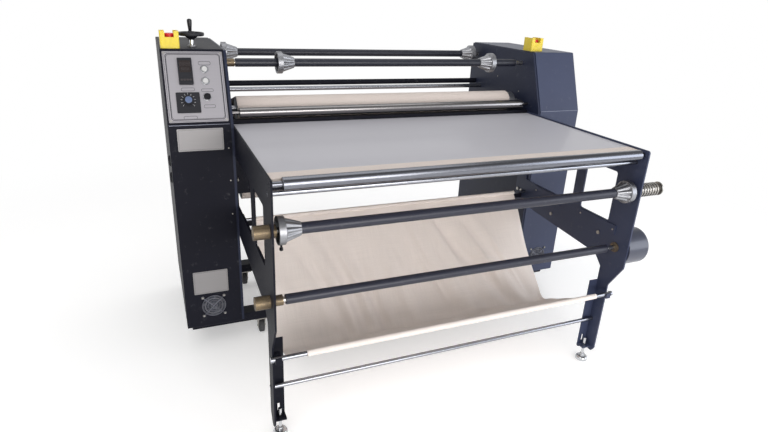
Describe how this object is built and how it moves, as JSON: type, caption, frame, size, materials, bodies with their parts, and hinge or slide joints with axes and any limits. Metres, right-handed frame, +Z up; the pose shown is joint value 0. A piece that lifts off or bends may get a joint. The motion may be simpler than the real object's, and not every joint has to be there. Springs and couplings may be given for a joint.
{
  "type": "calender heat press",
  "caption": "Rotary calender heat press with a feed table, felt-wrapped heated drum, roll shafts with clamping cones, side cabinets and a hanging catch cloth.",
  "frame": {"origin": "centre of the overall box, on the floor", "axes": "+X to the operator's right along the rollers, +Y from the feed table to the back, +Z up"},
  "size_m": [1.802, 1.2868, 1.2955],
  "materials": {
    "black_powder_coat": "fine texture, satin",
    "black_tube": "smooth satin",
    "chrome": "polished",
    "cast_aluminium": "as cast, satin",
    "roller_aluminium": "turned",
    "fascia_silver": "brushed, satin",
    "brass": "turned, worn",
    "zinc_steel": "zinc plated",
    "dark_steel": "turned",
    "cast_iron": "machined",
    "grey_enamel": "smooth enamel",
    "table_gloss": "glossy",
    "white_felt": "needled felt",
    "cotton": "woven",
    "black_plastic": "fine texture",
    "black_gloss": "moulded",
    "red_plastic": "moulded",
    "yellow_plastic": "moulded",
    "slate_paint": "smooth satin",
    "lamp_white": "moulded",
    "grey_rubber": "matte"
  },
  "bodies": {
    "machine_frame": {"left_side_frame": "black_powder_coat", "right_side_frame": "black_powder_coat", "bearing_walls": "black_powder_coat", "left_cabinet_cover": "black_powder_coat", "right_cabinet_cover": "black_powder_coat", "cross_beams": "black_powder_coat", "castor_forks": "zinc_steel", "control_panel": "fascia_silver", "temperature_controller": "black_plastic", "speed_dial": "black_plastic", "switch_bezels": "chrome", "estop_guards": "yellow_plastic", "heating_tubes": "dark_steel", "roller_bearings": "cast_iron", "felt_blanket": "white_felt", "table_board": "table_gloss", "table_felt": "white_felt", "brass_bushes": "brass", "torque_motor": "slate_paint", "drive_gearmotor": "grey_enamel", "chrome_rods": "chrome", "catch_cloth": "cotton", "fan_housings": "black_plastic", "fasteners": "zinc_steel", "control_electronics": "black_plastic"},
    "heated_drum_body": {"heated_drum": "dark_steel"},
    "front_top_guide_roller_body": {"front_top_guide_roller": "roller_aluminium"},
    "front_low_guide_roller_body": {"front_low_guide_roller": "roller_aluminium"},
    "rear_top_guide_roller_body": {"rear_top_guide_roller": "roller_aluminium"},
    "rear_low_guide_roller_body": {"rear_low_guide_roller": "roller_aluminium"},
    "nip_roller_body": {"nip_roller": "chrome"},
    "front_roller_body": {"front_roller": "chrome"},
    "front_roll_shaft_body": {"front_roll_shaft": "black_tube"},
    "rear_roll_shaft_body": {"rear_roll_shaft": "black_tube"},
    "feed_shaft_body": {"feed_shaft": "black_tube", "brake_spring": "zinc_steel"},
    "rewind_shaft_body": {"rewind_shaft": "black_tube"},
    "feed_left_cone_body": {"feed_left_cone": "cast_aluminium"},
    "feed_right_cone_body": {"feed_right_cone": "cast_aluminium"},
    "front_roll_left_cone_body": {"front_roll_left_cone": "cast_aluminium"},
    "front_roll_right_cone_body": {"front_roll_right_cone": "cast_aluminium"},
    "rear_roll_left_cone_body": {"rear_roll_left_cone": "cast_aluminium"},
    "rear_roll_right_cone_body": {"rear_roll_right_cone": "cast_aluminium"},
    "handwheel_body": {"handwheel": "cast_aluminium"},
    "tension_nut_body": {"tension_nut": "dark_steel"},
    "handwheel_grip_body": {"handwheel_grip": "black_gloss"},
    "left_estop_button_body": {"left_estop_button": "red_plastic"},
    "right_estop_button_body": {"right_estop_button": "red_plastic"},
    "start_button_body": {"start_button": "lamp_white"},
    "stop_button_body": {"stop_button": "lamp_white"},
    "speed_knob_body": {"speed_knob": "black_gloss"},
    "selector_knob_body": {"selector_knob": "black_plastic"},
    "left_fan_rotor_body": {"left_fan_rotor": "black_plastic"},
    "right_fan_rotor_body": {"right_fan_rotor": "black_plastic"},
    "front_left_castor_wheel_body": {"front_left_castor_wheel": "grey_rubber"},
    "front_right_castor_wheel_body": {"front_right_castor_wheel": "grey_rubber"},
    "rear_left_castor_wheel_body": {"rear_left_castor_wheel": "grey_rubber"},
    "rear_right_castor_wheel_body": {"rear_right_castor_wheel": "grey_rubber"},
    "left_levelling_foot_body": {"left_levelling_foot": "zinc_steel"},
    "right_levelling_foot_body": {"right_levelling_foot": "zinc_steel"}
  },
  "joints": [
    {"name": "drum_turn", "type": "hinge", "parent": "machine_frame", "child": "heated_drum_body", "pos_m": [0, 0.3336, 0.805], "axis": [1, 0, 0], "continuous": true},
    {"name": "front_top_guide_roller_turn", "type": "hinge", "parent": "machine_frame", "child": "front_top_guide_roller_body", "pos_m": [0, 0.19476, 0.97047], "axis": [1, 0, 0], "continuous": true},
    {"name": "front_low_guide_roller_turn", "type": "hinge", "parent": "machine_frame", "child": "front_low_guide_roller_body", "pos_m": [0, 0.19476, 0.63953], "axis": [1, 0, 0], "continuous": true},
    {"name": "rear_top_guide_roller_turn", "type": "hinge", "parent": "machine_frame", "child": "rear_top_guide_roller_body", "pos_m": [0, 0.54871, 0.89191], "axis": [1, 0, 0], "continuous": true},
    {"name": "rear_low_guide_roller_turn", "type": "hinge", "parent": "machine_frame", "child": "rear_low_guide_roller_body", "pos_m": [0, 0.53845, 0.69608], "axis": [1, 0, 0], "continuous": true},
    {"name": "nip_roller_turn", "type": "hinge", "parent": "machine_frame", "child": "nip_roller_body", "pos_m": [0, 0.10461, 0.97], "axis": [1, 0, 0], "continuous": true},
    {"name": "front_roller_turn", "type": "hinge", "parent": "machine_frame", "child": "front_roller_body", "pos_m": [0, -0.6114, 0.918], "axis": [1, 0, 0], "continuous": true},
    {"name": "front_roll_shaft_turn", "type": "hinge", "parent": "machine_frame", "child": "front_roll_shaft_body", "pos_m": [0, 0.1886, 1.145], "axis": [1, 0, 0], "continuous": true},
    {"name": "rear_roll_shaft_turn", "type": "hinge", "parent": "machine_frame", "child": "rear_roll_shaft_body", "pos_m": [0, 0.58361, 1.145], "axis": [1, 0, 0], "continuous": true},
    {"name": "feed_shaft_turn", "type": "hinge", "parent": "machine_frame", "child": "feed_shaft_body", "pos_m": [0, -0.5964, 0.775], "axis": [1, 0, 0], "continuous": true},
    {"name": "rewind_shaft_turn", "type": "hinge", "parent": "machine_frame", "child": "rewind_shaft_body", "pos_m": [0, -0.57339, 0.536], "axis": [1, 0, 0], "continuous": true},
    {"name": "feed_left_cone_slide", "type": "slide", "parent": "feed_shaft_body", "child": "feed_left_cone_body", "axis": [1, 0, 0], "range_m": [0, 0.45]},
    {"name": "feed_right_cone_slide", "type": "slide", "parent": "feed_shaft_body", "child": "feed_right_cone_body", "axis": [-1, 0, 0], "range_m": [0, 0.45]},
    {"name": "front_roll_left_cone_slide", "type": "slide", "parent": "front_roll_shaft_body", "child": "front_roll_left_cone_body", "axis": [1, 0, 0], "range_m": [-0.1, 0.3]},
    {"name": "front_roll_right_cone_slide", "type": "slide", "parent": "front_roll_shaft_body", "child": "front_roll_right_cone_body", "axis": [-1, 0, 0], "range_m": [-0.1, 0.3]},
    {"name": "rear_roll_left_cone_slide", "type": "slide", "parent": "rear_roll_shaft_body", "child": "rear_roll_left_cone_body", "axis": [1, 0, 0], "range_m": [0, 0.45]},
    {"name": "rear_roll_right_cone_slide", "type": "slide", "parent": "rear_roll_shaft_body", "child": "rear_roll_right_cone_body", "axis": [-1, 0, 0], "range_m": [0, 0.45]},
    {"name": "handwheel_turn", "type": "hinge", "parent": "machine_frame", "child": "handwheel_body", "pos_m": [-0.785, 0.20661, 1.238], "axis": [0, 0, 1], "range_deg": [-1440, 1440]},
    {"name": "tension_nut_slide", "type": "slide", "parent": "machine_frame", "child": "tension_nut_body", "axis": [0, 0, 1], "range_m": [-0.016, 0.016]},
    {"name": "handwheel_grip_turn", "type": "hinge", "parent": "handwheel_body", "child": "handwheel_grip_body", "pos_m": [-0.785, 0.2426, 1.238], "axis": [0, 0, 1], "continuous": true},
    {"name": "left_estop_button_press", "type": "slide", "parent": "machine_frame", "child": "left_estop_button_body", "axis": [0, 0, -1], "range_m": [0, 0.005], "stiffness_N_per_m": 1500, "springref_m": -0.001},
    {"name": "right_estop_button_press", "type": "slide", "parent": "machine_frame", "child": "right_estop_button_body", "axis": [0, 0, -1], "range_m": [0, 0.005], "stiffness_N_per_m": 1500, "springref_m": -0.001},
    {"name": "start_button_press", "type": "slide", "parent": "machine_frame", "child": "start_button_body", "axis": [0, 0.9298, -0.3682], "range_m": [0, 0.003], "stiffness_N_per_m": 800, "springref_m": -0.001},
    {"name": "stop_button_press", "type": "slide", "parent": "machine_frame", "child": "stop_button_body", "axis": [0, 0.9298, -0.3682], "range_m": [0, 0.003], "stiffness_N_per_m": 800, "springref_m": -0.001},
    {"name": "speed_knob_turn", "type": "hinge", "parent": "machine_frame", "child": "speed_knob_body", "pos_m": [-0.8235, 0.04067, 1.02884], "axis": [0, -0.9298, 0.3682], "range_deg": [-135, 135]},
    {"name": "selector_knob_turn", "type": "hinge", "parent": "machine_frame", "child": "selector_knob_body", "pos_m": [-0.7585, 0.04583, 1.04185], "axis": [0, -0.9298, 0.3682], "range_deg": [0, 90]},
    {"name": "left_fan_rotor_spin", "type": "hinge", "parent": "machine_frame", "child": "left_fan_rotor_body", "pos_m": [-0.793, 0.01161, 0.212], "axis": [0, 1, 0], "continuous": true},
    {"name": "right_fan_rotor_spin", "type": "hinge", "parent": "machine_frame", "child": "right_fan_rotor_body", "pos_m": [0.793, 0.01161, 0.212], "axis": [0, 1, 0], "continuous": true},
    {"name": "front_left_castor_roll", "type": "hinge", "parent": "machine_frame", "child": "front_left_castor_wheel_body", "pos_m": [-0.594, 0.0936, 0.03], "axis": [1, 0, 0], "continuous": true},
    {"name": "front_right_castor_roll", "type": "hinge", "parent": "machine_frame", "child": "front_right_castor_wheel_body", "pos_m": [0.594, 0.0936, 0.03], "axis": [1, 0, 0], "continuous": true},
    {"name": "rear_left_castor_roll", "type": "hinge", "parent": "machine_frame", "child": "rear_left_castor_wheel_body", "pos_m": [-0.594, 0.54861, 0.03], "axis": [1, 0, 0], "continuous": true},
    {"name": "rear_right_castor_roll", "type": "hinge", "parent": "machine_frame", "child": "rear_right_castor_wheel_body", "pos_m": [0.594, 0.54861, 0.03], "axis": [1, 0, 0], "continuous": true},
    {"name": "left_levelling_foot_turn", "type": "hinge", "parent": "machine_frame", "child": "left_levelling_foot_body", "pos_m": [-0.65, -0.54239, 0], "axis": [0, 0, 1], "continuous": true},
    {"name": "right_levelling_foot_turn", "type": "hinge", "parent": "machine_frame", "child": "right_levelling_foot_body", "pos_m": [0.65, -0.54239, 0], "axis": [0, 0, 1], "continuous": true}
  ],
  "couplings": [
    {"joint": "front_top_guide_roller_turn", "follows": "drum_turn", "ratio": -2.625},
    {"joint": "front_low_guide_roller_turn", "follows": "drum_turn", "ratio": -2.625},
    {"joint": "rear_top_guide_roller_turn", "follows": "drum_turn", "ratio": -3.5},
    {"joint": "rear_low_guide_roller_turn", "follows": "drum_turn", "ratio": -3.5},
    {"joint": "tension_nut_slide", "follows": "handwheel_turn", "m_per_rad": -0.00063662}
  ]
}
